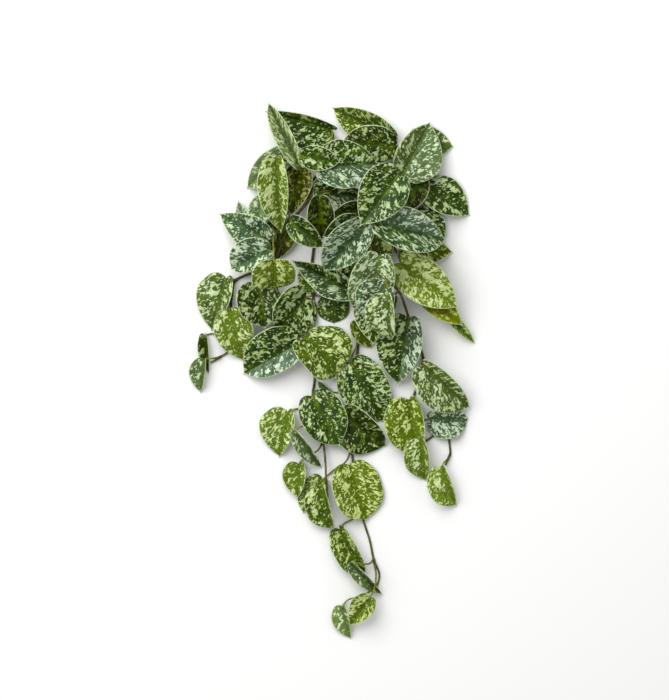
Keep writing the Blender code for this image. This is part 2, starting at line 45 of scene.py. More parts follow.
# What is laid on the table, from the back of the bunch to the front, in millimetres. A stem gives
# its route in plan from the main stem. A leaf gives its base and tip in plan, how wide it looks from
# above left and right of its midrib, its tone, and how much of it the pale splashes cover, 0 to 1.
# pitch is how far its tip points down, in degrees: without one it takes the tilt that lies lowest.
# curl is how far it bends from base to tip, bend how far its midrib bows to the left, and joins is
# where on the vine its petiole starts. A higher blunt gives a fuller tip. silver and streak say
# how far its left and right halves carry a painted sheen, a pale grey-green tint that stands for light
# glancing off them, or carry pale lines along the side veins.
Stem = namedtuple("Stem", "vine route")
Leaf = namedtuple("Leaf", "vine base tip half tone cover pitch curl joins bend blunt silver streak",
                  defaults=(None, 20, None, 0, 1.9, (0, 0), (0, 0)))
bunch = [
    Stem("back_left_vine", [(-20, 252), (-40, 226), (-58, 204)]),
    Leaf("back_left_vine", (-62, 195), (-72, 142), (21, 25), "brownOlive", 0.45),
    Stem("far_left_vine", [(-16, 250), (-30, 226), (-52, 205), (-59, 178), (-66, 160), (-72, 146),
         (-98, 129), (-124, 118), (-131, 84), (-136, 52), (-134, 27), (-157, 10)]),
    Leaf("far_left_vine", (-137, 119), (-156.5, 51), (13, 33), "sage", 0.6),
    Leaf("far_left_vine", (-164, 45), (-159.5, -6), (3, 12), "deep", 0.12),
    Leaf("far_left_vine", (-165, 13), (-170, -30), (3, 19), "sage", 0.4, silver=(0.3, 0.3)),
    Leaf("far_left_vine", (-132, 77), (-115, 12), (24, 27), "fresh", 0.55),
    Leaf("far_left_vine", (-95, 111), (-86, 54), (28, 31), "deep", 0.5, blunt=3),
    Stem("long_vine", [(14, 240), (20, 190), (30, 130), (36, 84), (35, 40), (33, 12), (26, -40),
         (24, -85), (28, -118), (31, -150), (37, -180), (43, -200), (50, -222), (55, -246), (62, -264),
         (59, -279), (50, -288)]),
    Leaf("long_vine", (32, 64), (52, 28), (13, 14), "olive", 0.4),
    Leaf("long_vine", (-1, -28), (-19, -13), (8, 3), "sage", 0.4, joins=(31, -8), silver=(0.5, 0.5)),
    Leaf("long_vine", (26, 9), (68, -68), (32, 33), "dark", 0.6, joins=(34, 30), blunt=3, streak=(1, 0)),
    Leaf("long_vine", (18, -54), (72, -99), (20, 34), "deep", 0.3, bend=-4, blunt=3),
    Leaf("long_vine", (-12, -142), (-38, -186), (12, 21), "fresh", 0.68, joins=(25, -104), blunt=3),
    Leaf("long_vine", (11, -207), (44, -268), (9, 23), "mid", 0.62, joins=(37, -180), blunt=4),
    Leaf("long_vine", (24, -124), (46, -196), (33, 31), "lime", 0.64, blunt=4, streak=(1, 0)),
    Leaf("long_vine", (27, -252), (67, -292), (4, 13), "sage", 0.3, joins=(52, -236), silver=(0.3, 0.3)),
    Leaf("long_vine", (14, -307), (25, -350), (5, 18), "mint", 0.5, joins=(50, -288)),
    Leaf("long_vine", (50, -295), (23, -332), (15, 18), "lime", 0.65, joins=(53, -243), blunt=1.5),
    Stem("middle_vine", [(-9, 225), (-18, 192), (-23, 160), (-26, 133), (-24, 100), (-24, 70),
         (-32, 50), (-27, 20), (-22, -8), (-24, -28), (-20, -60), (-11, -92), (-8, -118), (-7, -142),
         (-5, -165)]),
    Leaf("middle_vine", (3, 98), (3, 60), (21, 22), "dark", 0.35, pitch=0, curl=0, blunt=4),
    Leaf("middle_vine", (-22, 128), (-32, 100), (18, 20), "mid", 0.58),
    Leaf("long_vine", (30, 134), (7, 98), (15, 16), "dark", 0.6),
    Leaf("long_vine", (24, 103), (-53, 144), (23, 16), "dark", 0.5, blunt=1.2, silver=(0.3, 0)),
    Leaf("middle_vine", (-33, 95), (-73, 48), (31, 26), "dark", 0.68, blunt=3),
    Leaf("middle_vine", (-41, 36), (-116, -5), (22, 36), "dark", 0.5, blunt=3, silver=(0.8, 0)),
    Leaf("middle_vine", (-34, 42), (5, -11), (40, 30), "mid", 0.55, bend=8, blunt=4),
    Leaf("middle_vine", (-57, -54), (-68, -114), (12, 34), "fresh", 0.58),
    Leaf("middle_vine", (-43, -122), (-44, -167), (10, 21), "fresh", 0.4, joins=(-13, -86)),
    Leaf("middle_vine", (-46, -79), (-12, -127), (4, 15), "sage", 0.55,
         joins=(-20, -60), silver=(0.3, 0.3)),
    Leaf("middle_vine", (-25, -34), (11, -99), (30, 29), "dark", 0.36, blunt=3),
    Leaf("middle_vine", (-12, -150), (3, -207), (3, 29), "mid", 0.5, blunt=4),
    Stem("left_vine", [(-20, 240), (-29, 221), (-47, 200), (-66, 186), (-80, 172), (-92, 165)]),
    Leaf("left_vine", (-105, 165), (-122, 222), (12, 12), "pale", 0.9, silver=(0.8, 0.8)),
    Leaf("left_vine", (-90, 222), (-100, 180), (15, 15), "mint", 0.62, silver=(0.4, 0.4)),
    Leaf("left_vine", (-80, 167), (-147, 204.5), (25, 20), "blue", 0.6, blunt=1.5, silver=(0.3, 0.3)),
    Leaf("left_vine", (-80, 156), (-131, 131), (14, 27), "blue", 0.6, blunt=3, silver=(0.4, 0.4)),
    Leaf("left_vine", (-74, 142), (-76, 105), (29, 28), "lime", 0.58,
         pitch=45, joins=(-60, 190), blunt=4),
    Stem("top_right_vine", [(22, 281), (50, 288), (78, 290), (104, 280)]),
    Leaf("top_right_vine", (104, 300), (160, 291), (22, 23), "sage", 0.3),
    Leaf("top_right_vine", (76, 302), (-0.5, 343), (27, 18), "mid", 0.62),
    Leaf("top_right_vine", (80, 290), (12, 298), (24, 25), "deep", 0.37, blunt=3),
    Stem("lower_right_vine", [(20, 238), (45, 213), (68, 180), (86, 152), (98, 122), (112, 104)]),
    Leaf("lower_right_vine", (58, 184), (67, 130), (20, 21), "mid", 0.85),
    Leaf("lower_right_vine", (92, 160), (159, 154), (22, 21), "olive", 0.5),
    Leaf("lower_right_vine", (157, 66), (187, 34.5), (8, 7), "light", 0.9, blunt=1.5),
    Leaf("lower_right_vine", (122, 98), (171, 58), (17, 16), "gold", 0.55),
    Leaf("lower_right_vine", (91, 139), (165, 80), (27, 30), "light", 0.85, blunt=2.2),
    Stem("right_vine", [(25, 258), (60, 256), (88, 251), (106, 242), (114, 222)]),
    Leaf("right_vine", (112, 205), (148, 170), (20, 22), "dark", 0.55, blunt=3),
    Leaf("right_vine", (124, 237), (181, 201), (29, 20), "dark", 0.5),
    Leaf("right_vine", (118, 248), (88, 205), (18, 20), "shade", 0.3),
    Leaf("right_vine", (93, 256), (128.5, 324), (22, 40), "sage", 0.55, silver=(0, 0.3)),
    Stem("trailing_right_vine", [(12, 232), (32, 203), (55, 163), (74, 122), (90, 97), (100, 69),
         (113, 36), (119, 17), (114, -12), (107, -34), (109, -64), (119, -93), (131, -86), (141, -80),
         (151, -84), (154, -100), (154, -110), (148, -123)]),
    Leaf("trailing_right_vine", (80, 96), (66, 66), (9, 17), "olive", 0.4),
    Leaf("trailing_right_vine", (100, 66), (85, -20), (23, 38), "dark", 0.53, silver=(0.6, 0)),
    Leaf("trailing_right_vine", (128, -63), (179, -63), (14, 26), "blue", 0.8,
         blunt=4, silver=(0.5, 0.5)),
    Leaf("trailing_right_vine", (119, 7), (181, -49), (13, 36), "sage", 0.66, blunt=2.4),
    Leaf("trailing_right_vine", (101, -39), (112, -113), (15, 37), "lime", 0.55, blunt=3),
    Leaf("trailing_right_vine", (116, -91), (122, -144), (8, 25), "fresh", 0.6, blunt=2.5),
    Leaf("trailing_right_vine", (144, -125), (163, -177), (4, 28), "light", 0.55, blunt=3),
    Stem("top_left_vine", [(-20, 268), (-38, 266), (-54, 270), (-66, 269)]),
    Leaf("top_left_vine", (-40, 262), (-53, 199), (19, 20), "brownOlive", 0.56),
    Leaf("top_left_vine", (0, 313), (-88, 338), (35, 9), "dark", 0.4),
    Leaf("top_left_vine", (-62, 283), (-111, 237), (22, 17.5), "mint", 0.45, silver=(0.3, 0.3)),
    Leaf("top_left_vine", (-41, 266), (-83, 350), (15, 9), "mint", 0.85),
    Leaf("top_left_vine", (-71, 271), (-65, 177), (13, 27), "fresh", 0.85),
    Stem("front_vine", [(4, 226), (20, 197), (44, 172), (62, 150), (70, 122), (72, 104)]),
    Leaf("front_vine", (-20, 232), (40, 225), (18, 16), "dark", 0.6, silver=(0, 0.3)),
    Leaf("front_vine", (40, 206), (-2, 199), (15, 15), "shade", 0.4),
    Leaf("front_vine", (-15, 222), (-12, 168), (18, 18), "shade", 0.25),
    Leaf("front_vine", (30, 192), (-12, 172), (15, 15), "deep", 0.28, silver=(0.1, 0.1)),
    Leaf("left_vine", (-51, 191), (-9, 158), (14, 17), "dark", 0.35),
    Leaf("front_vine", (45, 189), (-10, 128), (24, 26), "blue", 0.7, silver=(0.3, 0.3)),
    Leaf("front_vine", (60, 95), (54, 33), (20, 30), "dark", 0.74),
    Leaf("front_vine", (62, 147), (43, 67), (27, 31), "sage", 0.75, blunt=3, silver=(0.25, 0.25)),
    Leaf("front_vine", (69, 110), (41, 67), (24, 29), "blue", 0.55, silver=(0.3, 0.3)),
    Leaf("front_vine", (73, 96), (75, 41), (7, 31), "sage", 0.82, blunt=4),
    Stem("front_right_vine", [(12, 246), (32, 232), (52, 224)]),
    Stem("crown_vine", [(-16, 256), (-24, 266), (-31, 280)]),
    Leaf("crown_vine", (-16, 261), (63, 267), (35, 30), "dark", 0.6, silver=(0, 0.5)),
    Leaf("crown_vine", (-38, 276), (12, 268), (16, 17), "dark", 0.5),
    Leaf("front_right_vine", (57, 191), (149, 169), (29, 27), "blue", 0.55, silver=(0.7, 0)),
    Leaf("front_right_vine", (85, 251), (36, 185), (30, 34), "dark", 0.55, silver=(0.15, 0)),
]
planMiddle = np.array([0.7, 0.0, 0.0]) * mm  # the bunch is moved by this to lie over the origin

# Some tones are partly painted light and shade: shade and deep are darker greens given to leaves that lie in
# shadow among the others, and light and gold are lifted on leaves that a shadow falls on
tones = {  # screen colours of a leaf's green and of its splashes, from deep shade to new growth
    "shade": ((26, 32, 2), (104, 114, 62)),
    "deep": ((34, 48, 6), (154, 170, 112)),
    "dark": ((38, 58, 10), (170, 188, 130)),
    "olive": ((68, 80, 8), (170, 180, 98)),
    "gold": ((122, 128, 10), (186, 194, 104)),
    "brownOlive": ((56, 58, 6), (150, 154, 82)),
    "blue": ((46, 70, 34), (182, 200, 156)),
    "sage": ((74, 92, 40), (186, 202, 148)),
    "mid": ((66, 86, 12), (184, 198, 128)),
    "fresh": ((92, 112, 28), (192, 206, 142)),
    "lime": ((88, 108, 14), (194, 206, 126)),
    "light": ((108, 130, 34), (200, 212, 144)),
    "mint": ((104, 124, 70), (200, 214, 162)),
    "pale": ((146, 156, 120), (214, 222, 196)),
}

bladeForm = {
    "rows": 36,
    "columns": 26,
    "rowCrowding": 0.3,  # how far the rows crowd towards base and tip
    "columnCrowding": 1.1,
    "thickness": 0.0005,
    "weld": 0.00002,
    "flattest": 0.01,  # the least curl, in degrees
    "halfWidth": 0.37,  # of the blade's length
    "widthRoom": 1.02,
    "widestAt": 0.34,
    "baseWidth": 0.64,  # of its widest
    "fullness": 0.9,
    "tipFullness": 0.9,
    "bodyEnd": 0.955,  # the drawn-out point begins here
    "pointFrom": 0.85,
    "pointSlope": 1.0,
    "lobe": 0.07,  # how far the lobes reach back, of the blade's length
    "lobeSpread": 0.8,
    "lobeCrowding": 0.75,
    "lobeRound": (6, 0.6),  # how the lobes round off at the margin
    "steepest": 75,  # the most that a half slopes, in degrees
    "recurve": 0.10,  # how far a margin bends down, and below how far it waves, of the half width
    "wave": 0.06,
    "wavesAlong": 7,
    "wavesAcross": 2,
    "waveShift": 2.4,  # from one leaf to the next
    "steepShrink": 0.7,  # how far the splashes narrow on a steep half
    "veinSpacing": 0.0085,  # side veins along the midrib
    "veinSlant": 0.75,  # how far a side vein runs towards the tip, for each step out
    "quilt": 0.00025,  # how high the blade swells between them
    "ridgeReach": (0.05, 0.25, 0.15),  # across a half: where ridges start, rise and fall
    "groove": 0.0006,
    "grooveWidth": 0.0014,
    "baseRim": 0.0013,  # how far from the margin the midrib's first point counts as
}

mainStem = {
    "lying": [(6, 296, 5.2), (3, 284, 5.6), (-1, 272, 8), (-3, 264.5, 16)],  # millimetres, from its cut end
    "post": (-3, 264),  # where it stands up
    "aboveVines": 4,  # how far it stands above the highest vine that leaves it
    "foot": 0.017,  # the lowest that a vine leaves it
    "radius": 0.005,
    "step": 0.0012,
    "bevelSteps": 6,
    "scarSpacing": 0.012,  # leaf scars that ring the old stem
    "scarPlace": 0.006,
    "scarWidth": 0.0009,
    "scarHeight": 0.0004,
    "barkDepth": 0.0002,
    "ripple": (0.00012, 900),
    "barkLight": (128, 112, 84),
    "barkDark": (62, 48, 34),
    "mottle": (0.3, 0.7),
    "coarse": (220.0, 4.0, 0.65),
    "fibres": (900, 900, 120),
    "scarShade": 0.6,
    "heights": (0.6, 0.5),
    "relief": 0.0004,
    "barkRoughness": 0.75,
    "cutWood": (196, 178, 132),
    "cutRings": (148, 124, 82),
    "ringsPerMetre": 7000.0,
    "wobbleScale": 700.0,
    "wobble": 3.0,
    "ringShade": (0.3, 0.25),
    "ringRelief": 0.0001,
    "cutRoughness": 0.7,
}

laying = {  # how each piece comes to rest on the pile, in metres and degrees
    "cell": 0.002,
    "halfWidth": 0.24,
    "halfLength": 0.40,
    "gap": 0.0010,
    "lineStep": 0.002,
    "ringPoints": 8,
    "bladeThickness": 0.0008,
    "bladeRows": 5,
    "bladeColumns": 4,
    "bladeFullness": 0.8,
    "rowSpread": 1.1,
    "fill": 10,  # points each way across one face of the coarse blade
    "usualPitch": 10,
    "pitches": range(-8, 25, 4),
    "rolls": range(-20, 21, 5),
    "tiltCost": 0.00005,  # what each degree away from the usual tilt counts
    "vineRadii": (0.0022, 0.0014),
    "vineStep": 0.019,
    "vineSag": 0.0015,  # how far each point may hang below the middle of its neighbours
    "petioleRadii": (0.0015, 0.0009),
    "petioleSteps": 4,
    "petioleSag": 0.0040,
    "petioleShortest": 0.010,
    "petioleSeat": 0.07,  # how far up the blade it ends
    "vineLead": 0.35,  # how far it first runs on along the vine, as a share of its reach
    "bladeLead": 0.25,  # and how far it runs straight into the blade
    "drapeParts": 8,
    "drapePasses": 60,
    "startNear": 0.0062,  # from here to startFar a vine's first stretch lies clear of the pile
    "startFar": 0.022,
    "startStep": 0.001,
    "startRoom": 0.0008,
    "startStraight": 0.006,
    "startGap": 0.0004,
    "postRoom": 0.003,
    "postTop": 0.006,
}


def linear(red, green, blue):  # a screen colour as the shader's colour
    parts = [c / 255 for c in (red, green, blue)]
    return tuple(c / 12.92 if c <= 0.04045 else ((c + 0.055) / 1.055) ** 2.4 for c in parts) + (1.0,)


def bodyWidth(u, blunt, fullness):  # half width along the blade, as a share of the widest
    near = np.clip(u / bladeForm["widestAt"], 0, 1)
    past = np.clip((u - bladeForm["widestAt"]) / (1 - bladeForm["widestAt"]), 0, 1)
    base = bladeForm["baseWidth"]
    swell = base + (1 - base) * np.sin(math.pi / 2 * near) ** fullness
    return swell * (1 - past ** blunt) ** bladeForm["tipFullness"]


def pointedWidth(u, blunt):  # the same, with the drawn-out point at the tip
    body = bodyWidth(u / bladeForm["bodyEnd"], blunt, bladeForm["fullness"])
    point = np.where(u > bladeForm["pointFrom"], bladeForm["pointSlope"] * (1 - u), 0)
    return np.maximum(body, point)


class Blade:  # the middle surface of one leaf: u runs from base to tip and v from left to right
    def __init__(self, leaf, number, pitch, roll):
        self.leaf = leaf
        self.number = number
        self.height = 0.0
        self.base = np.array([*leaf.base, 0]) * mm
        run = np.array([*leaf.tip, 0]) * mm - self.base
        self.heading = run / np.linalg.norm(run)
        self.side = np.array([self.heading[1], -self.heading[0], 0])
        self.curl = math.radians(max(leaf.curl, bladeForm["flattest"]))
        self.rise = self.curl / 2 - math.radians(pitch)  # the midrib's angle at the base
        self.length = 1.0
        self.length = np.linalg.norm(run) / float(self.midrib(1.0)[0])
        half = max(bladeForm["halfWidth"] * self.length, bladeForm["widthRoom"] * mm * max(leaf.half))
        left, right = (math.degrees(math.acos(w * mm / half)) for w in leaf.half)
        steepest = bladeForm["steepest"]
        tilted = np.clip([left - roll, right + roll], -steepest, steepest)
        self.slopes = np.radians(tilted) if leaf.curl else np.zeros(2)
        self.widths = np.array(leaf.half) * mm / np.cos(self.slopes)

    def midrib(self, u):  # how far it has run forward and up at u, and its angle there
        angle = self.rise - self.curl * u
        forward = (math.sin(self.rise) - np.sin(angle)) / self.curl
        up = (np.cos(angle) - math.cos(self.rise)) / self.curl
        return forward * self.length, up * self.length, angle

    def lobe(self, u, v):  # how far the heart's two lobes reach back beside the petiole
        reach = bladeForm["lobe"] * self.length * (1 - u) ** 3
        turn = bladeForm["lobeSpread"] * math.pi * np.abs(v) ** bladeForm["lobeCrowding"]
        return reach * np.sin(turn)

    def surface(self, u, v, share, lobe):  # points for half widths and lobes, and which way they face
        forward, up, angle = (part[..., None] for part in self.midrib(u))
        tangent = self.heading * np.cos(angle) + upward * np.sin(angle)
        normal = upward * np.cos(angle) - self.heading * np.sin(angle)
        slope = np.where(v < 0, *self.slopes)
        across = np.abs(v) * share
        lift = across * np.sin(slope)
        if self.leaf.curl:
            lift = lift - bladeForm["recurve"] * share * np.abs(v) ** 3
            turn = bladeForm["wavesAlong"] * u + bladeForm["waveShift"] * self.number
            ripple = np.sin(turn + bladeForm["wavesAcross"] * v)
            lift = lift + bladeForm["wave"] * share * v * v * ripple
        bowed = self.leaf.bend * mm * 4 * u * (1 - u)
        outward = (np.sign(v) * across * np.cos(slope) - bowed)[..., None] * self.side
        spot = self.base + self.heading * forward + upward * (up + self.height)
        facing = normal * np.cos(slope)[..., None] - self.side * (np.sign(v) * np.sin(slope))[..., None]
        return spot + outward + normal * lift[..., None] - tangent * lobe[..., None], facing

    def coarse(self, u, v):  # the plain blade that the pile is laid with
        share = bodyWidth(u, self.leaf.blunt, laying["bladeFullness"]) * np.where(v < 0, *self.widths)
        return self.surface(u, v, share, self.lobe(u, v))[0]

    def fine(self, u, v):  # the finished blade, and how far along, across and from the margin it is
        share = pointedWidth(u, self.leaf.blunt) * np.where(v < 0, *self.widths)
        late, soft = bladeForm["lobeRound"]
        lobe = self.lobe(u, v) * (1 - np.abs(v) ** late) ** soft
        points, facing = self.surface(u, v, share, lobe)
        across = np.abs(v) * share
        seen = across * np.cos(np.where(v < 0, *self.slopes)) ** bladeForm["steepShrink"]
        # side veins sink between soft ridges, and the midrib lies in a groove
        alongVein = u * self.length - bladeForm["veinSlant"] * seen
        start, rise, fall = bladeForm["ridgeReach"]
        ridge = np.clip((np.abs(v) - start) / rise, 0, 1) * np.clip((1 - np.abs(v)) / fall, 0, 1)
        relief = bladeForm["quilt"] * np.cos(math.tau * alongVein / bladeForm["veinSpacing"]) * ridge
        relief = relief - bladeForm["groove"] * np.exp(-(across / bladeForm["grooveWidth"]) ** 2)
        toBase = u * self.length + bladeForm["baseRim"] * (1 - np.abs(v))
        rim = np.minimum((1 - np.abs(v)) * share, toBase)
        points = points + facing * (relief * (1 - u))[..., None]
        lowest = bladeForm["thickness"] / 2  # a margin lies on the table
        points[..., 2] = np.maximum(points[..., 2], lowest)
        return points, u * self.length, np.sign(v) * seen, rim


class Pile:  # how high the plant stands over each cell of the table, in metres
    def __init__(self):
        cellsWide = int(2 * laying["halfWidth"] / laying["cell"])
        cellsLong = int(2 * laying["halfLength"] / laying["cell"])
        self.top = np.zeros((cellsWide, cellsLong))
        self.post = mainStem["foot"]

    def cells(self, points):
        x = ((points[..., 0] + laying["halfWidth"]) / laying["cell"]).astype(int)
        y = ((points[..., 1] + laying["halfLength"]) / laying["cell"]).astype(int)
        return np.clip(x, 0, self.top.shape[0] - 1), np.clip(y, 0, self.top.shape[1] - 1)

    def under(self, points):  # the height to clear: the pile and a gap, or the bare table
        found = self.top[self.cells(points)]
        return np.where(found > 0, found + laying["gap"], 0.0)

    def underBlade(self, points):  # a blade also clears the top of the main stem
        x, y = mainStem["post"]
        away = np.hypot(points[..., 0] - x * mm, points[..., 1] - y * mm)
        nearPost = away < mainStem["radius"] + laying["postRoom"]
        return np.maximum(self.under(points), np.where(nearPost, self.post + laying["postTop"], 0.0))

    def add(self, points):
        np.maximum.at(self.top, self.cells(points), points[..., 2])


def smoothLine(route, step):  # points about a step apart on a smooth curve through the route
    ends = [route[0] * 2 - route[1], *route, route[-1] * 2 - route[-2]]
    found = []
    for a, b, c, d in zip(ends, ends[1:], ends[2:], ends[3:]):
        parts = max(1, round(np.linalg.norm(c - b) / step))
        for i in range(parts):
            t = i / parts
            found.append(0.5 * (2 * b + (c - a) * t + (2 * a - 5 * b + 4 * c - d) * t * t
                                + (3 * b - a - 3 * c + d) * t ** 3))
    return np.array([*found, route[-1]])


def filled(blade):  # points spread evenly over the coarse blade
    u = np.linspace(0, 1, laying["bladeRows"] + 1) ** laying["rowSpread"]
    v = np.linspace(-1, 1, laying["bladeColumns"] + 1)
    rows = blade.coarse(*np.meshgrid(u, v, indexing="ij"))
    t = np.linspace(0, 1, laying["fill"])[:, None, None, None, None]
    s = np.linspace(0, 1, laying["fill"])[None, :, None, None, None]
    near = rows[:-1, :-1] * (1 - t) + rows[:-1, 1:] * t
    far = rows[1:, :-1] * (1 - t) + rows[1:, 1:] * t
    return (near * (1 - s) + far * s).reshape(-1, 3)


def around(points, radii):  # each point, and a ring of points at its radius round it in plan
    rings = [points]
    for turn in range(laying["ringPoints"]):
        angle = math.tau * turn / laying["ringPoints"]
        rings.append(points + radii[:, None] * np.array([math.cos(angle), math.sin(angle), 0.0]))
    return np.array(rings)


def between(line, radii):  # a line with more points between its own, and their radii
    place = np.linspace(0, len(line) - 1, (len(line) - 1) * laying["drapeParts"] + 1)
    whole = np.arange(len(line))
    close = np.stack([np.interp(place, whole, line[:, k]) for k in range(3)], axis=1)
    return close, np.interp(place, whole, radii)


def drape(line, radii, pile, fixed, sag):  # lifts a line clear of the pile after its first points
    parts = laying["drapeParts"]
    close, wide = between(line, radii)
    need = pile.under(around(close, wide)).max(axis=0) + wide
    padded = np.pad(need, parts, mode="edge")
    need = np.array([padded[i * parts:(i + 2) * parts + 1].max() for i in range(len(line))])
    kept = line[:, 2].copy()
    heights = np.maximum(kept, need)
    for _ in range(laying["drapePasses"]):
        heights[:fixed] = kept[:fixed]
        middle = (heights[:-2] + heights[2:]) / 2
        heights[1:-1] = np.maximum(np.maximum(need[1:-1], kept[1:-1]), middle - sag)
    heights[:fixed] = kept[:fixed]
    line[:, 2] = heights
    return line


def startOf(stem, pile):  # where a vine leaves the main stem, and a point further out
    radius = laying["vineRadii"][0]
    post = np.array([*mainStem["post"], 0]) * mm
    toward = np.array([*stem.route[0], 0]) * mm - post
    out = toward / np.linalg.norm(toward)
    steps = np.arange(laying["startNear"], laying["startFar"], laying["startStep"])
    path = np.array([post + out * away for away in steps])
    under = pile.under(around(path, np.full(len(path), radius + laying["startRoom"]))).max()
    height = max(mainStem["foot"], under + radius)
    pile.post = max(pile.post, height)
    first = post + out * (mainStem["radius"] + laying["startGap"]) + upward * height
    return first, first + out * laying["startStraight"]


def layStem(stem, pile):
    first, second = startOf(stem, pile)
    route = [np.array([x * mm, y * mm, 0]) for x, y in stem.route]
    line = smoothLine([first, second, *route], laying["vineStep"])
    line[2:, 2] = 0
    line[:2] = first, second
    radii = np.linspace(*laying["vineRadii"], len(line))
    line = drape(line, radii, pile, 2, laying["vineSag"])
    pile.add(around(*between(line, radii)) + upward * laying["vineRadii"][0])
    return line


def settled(leaf, number, pile):  # the blade, tilted so that it lies as low on the pile as it can
    tried = []
    for pitch in laying["pitches"] if leaf.pitch is None else [leaf.pitch]:
        for roll in laying["rolls"] if leaf.curl else [0]:
            blade = Blade(leaf, number, pitch, roll)
            points = filled(blade)
            lift = float((pile.underBlade(points) - points[:, 2]).max())
            blade.height = lift + laying["bladeThickness"] / 2
            unlike = abs(pitch - laying["usualPitch"]) if leaf.pitch is None else 0
            cost = points[:, 2].mean() + lift + laying["tiltCost"] * (unlike + abs(roll))
            tried.append((cost, len(tried), blade))
    return min(tried)[2]


def petioleLine(leaf, blade, vine):  # from the middle of the vine to just inside the blade
    near = (blade.base - blade.heading * laying["petioleShortest"])[:2]
    if leaf.joins:
        near = np.array(leaf.joins) * mm
    i = int(np.clip(np.argmin(((vine[:, :2] - near) ** 2).sum(axis=1)), 1, len(vine) - 2))
    root, onward = vine[i], vine[i + 1] - vine[i - 1]
    onward = onward / np.linalg.norm(onward)
    seat, collar = blade.coarse(np.array([laying["petioleSeat"], 0.0]), np.zeros(2))
    reach = np.linalg.norm(collar - root)
    bendA = root + onward * reach * laying["vineLead"]
    bendB = collar - blade.heading * reach * laying["bladeLead"]
    line = []
    for k in range(laying["petioleSteps"]):
        t = k / (laying["petioleSteps"] - 1)
        line.append(root * (1 - t) ** 3 + bendA * 3 * t * (1 - t) ** 2
                    + bendB * 3 * t * t * (1 - t) + collar * t ** 3)
    return np.array([*line, seat])


def layLeaf(leaf, number, vine, pile):  # lowers a blade onto the pile, then runs its petiole
    blade = settled(leaf, number, pile)
    points = filled(blade)
    line = petioleLine(leaf, blade, vine)
    radii = np.linspace(*laying["petioleRadii"], len(line))
    line[-2:, 2] = np.maximum(line[-2:, 2], radii[-2:])
    ends = line[-2:, 2].copy()
    line = drape(line, radii, pile, 1, laying["petioleSag"])
    line[-2:, 2] = ends
    pile.add(points + upward * laying["bladeThickness"] / 2)
    pile.add(around(*between(line, radii)) + upward * laying["petioleRadii"][0])
    return blade, line


def layBunch():  # each vine's line with its blades and petioles, and the height of the main stem
    pile = Pile()
    lying = smoothLine([np.array(p) * mm for p in mainStem["lying"]], laying["lineStep"])
    radius = mainStem["radius"]
    pile.add(around(lying, np.full(len(lying), radius)) + upward * radius)
    vines = {}
    for number, item in enumerate(bunch):
        if isinstance(item, Stem):
            vines[item.vine] = (layStem(item, pile), [])
        else:
            line, leaves = vines[item.vine]
            leaves.append(layLeaf(item, number, line, pile))
    return vines, pile.post


class Term:  # a socket that takes plain arithmetic
    def __init__(self, graph, socket):
        self.graph = graph
        self.socket = socket

    def math(self, operation, *terms):
        return self.graph.add("ShaderNodeMath", {"operation": operation}, terms)

    def __add__(self, other):
        return self.math("ADD", self, other)

    def __radd__(self, other):
        return self.math("ADD", other, self)

    def __sub__(self, other):
        return self.math("SUBTRACT", self, other)

    def __rsub__(self, other):
        return self.math("SUBTRACT", other, self)

    def __mul__(self, other):
        return self.math("MULTIPLY", self, other)

    def __rmul__(self, other):
        return self.math("MULTIPLY", other, self)

    def __truediv__(self, other):
        return self.math("DIVIDE", self, other)

    def __rtruediv__(self, other):
        return self.math("DIVIDE", other, self)

    def __gt__(self, other):
        return self.math("GREATER_THAN", self, other)

    def __abs__(self):
        return self.math("ABSOLUTE", self)


class Graph:  # one material's nodes
    def __init__(self, name):
        self.material = bpy.data.materials.new(name)
        self.material.use_nodes = True
        self.tree = self.material.node_tree
        self.tree.nodes.clear()

    def add(self, kind, settings=None, inputs=(), output=0):  # one node, and a Term for its output
        node = self.tree.nodes.new(kind)
        for key, value in (settings or {}).items():
            setattr(node, key, value)
        pairs = inputs.items() if isinstance(inputs, dict) else enumerate(inputs)
        for key, value in pairs:
            if isinstance(value, Term):
                self.tree.links.new(value.socket, node.inputs[key])
            else:
                node.inputs[key].default_value = value
        return Term(self, node.outputs[output] if node.outputs else None)

    def attribute(self, name, output="Vector"):
        return self.add("ShaderNodeAttribute", {"attribute_name": name}, (), output)

    def place(self):
        return self.add("ShaderNodeTexCoord", None, (), "Object")

    def split(self, vector):
        parts = self.add("ShaderNodeSeparateXYZ", None, [vector])
        return [Term(self, part) for part in parts.socket.node.outputs]

    def join(self, *parts):
        return self.add("ShaderNodeCombineXYZ", None, parts)

    def noise(self, vector, scale, detail=2.0, roughness=0.5):
        inputs = {"Vector": vector, "Scale": scale, "Detail": detail, "Roughness": roughness}
        return self.add("ShaderNodeTexNoise", None, inputs)

    def mix(self, amount, first, second, blend="MIX"):  # its colours are inputs 6 and 7 and output 2
        settings = {"data_type": "RGBA", "blend_type": blend}
        return self.add("ShaderNodeMix", settings, {0: amount, 6: first, 7: second}, 2)

    def ramp(self, value, low, high, start=0.0, end=1.0):  # a smooth step between low and high
        settings = {"interpolation_type": "SMOOTHSTEP"}
        return self.add("ShaderNodeMapRange", settings, (value, low, high, start, end))

    def bump(self, height, distance):
        return self.add("ShaderNodeBump", None, {"Distance": distance, "Height": height})

    def finish(self, colour, roughness, normal, gloss=0.5):
        inputs = {"Base Color": colour, "Roughness": roughness, "Normal": normal}
        inputs["Specular IOR Level"] = gloss
        shader = self.add("ShaderNodeBsdfPrincipled", None, inputs)
        self.add("ShaderNodeOutputMaterial", None, [shader])
        return self.material


def finishMesh(name, work, materials):
    mesh = bpy.data.meshes.new(name)
    work.to_mesh(mesh)
    work.free()
    mesh.shade_smooth()
    for material in materials:
        mesh.materials.append(material)
    obj = bpy.data.objects.new(name, mesh)
    bpy.context.scene.collection.objects.link(obj)
    return obj


